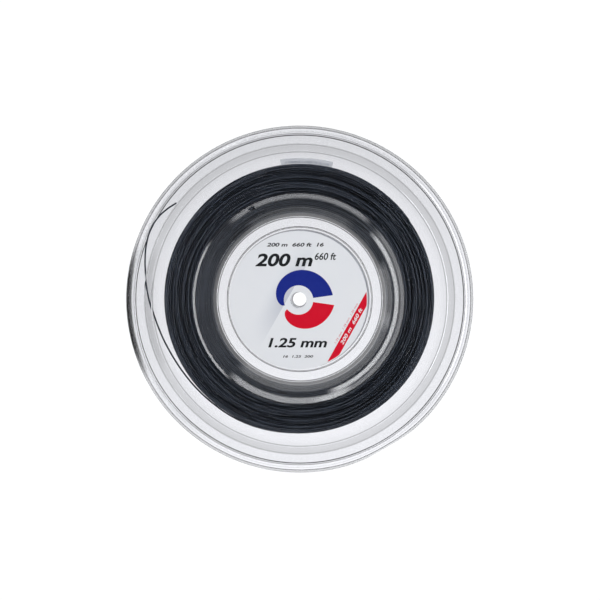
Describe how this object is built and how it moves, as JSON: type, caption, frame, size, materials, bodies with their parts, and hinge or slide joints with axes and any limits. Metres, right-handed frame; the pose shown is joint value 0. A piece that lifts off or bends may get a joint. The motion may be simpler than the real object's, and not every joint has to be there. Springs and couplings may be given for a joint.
{
  "type": "string reel",
  "caption": "Clear two-half plastic reel of wound racket string, with a loose string end, hub labels and a centre spindle hole.",
  "frame": {"origin": "on the reel's axis at the rear half's rest face", "axes": "+Z along the reel's axis towards the front half and its label, +Y towards the top of the label's print"},
  "size_m": [0.26, 0.26, 0.024],
  "materials": {
    "clear_plastic_rear": "clear moulded polystyrene, glossy",
    "clear_plastic_front": "clear moulded polystyrene, glossy",
    "string_wound": "black extruded monofilament, satin",
    "string_loose": "black extruded monofilament, satin",
    "label_front": "printed coated paper, pale cool grey",
    "label_rear": "printed coated paper, pale cool grey",
    "sticker": "translucent film sticker with fine grey print"
  },
  "bodies": {
    "root": {"rear_shell": "clear_plastic_rear", "front_shell": "clear_plastic_front", "string_winding": "string_wound", "string_tail": "string_loose", "string_inner_end": "string_loose", "front_label": "label_front", "rear_label": "label_rear", "batch_sticker": "sticker"}
  },
  "joints": []
}
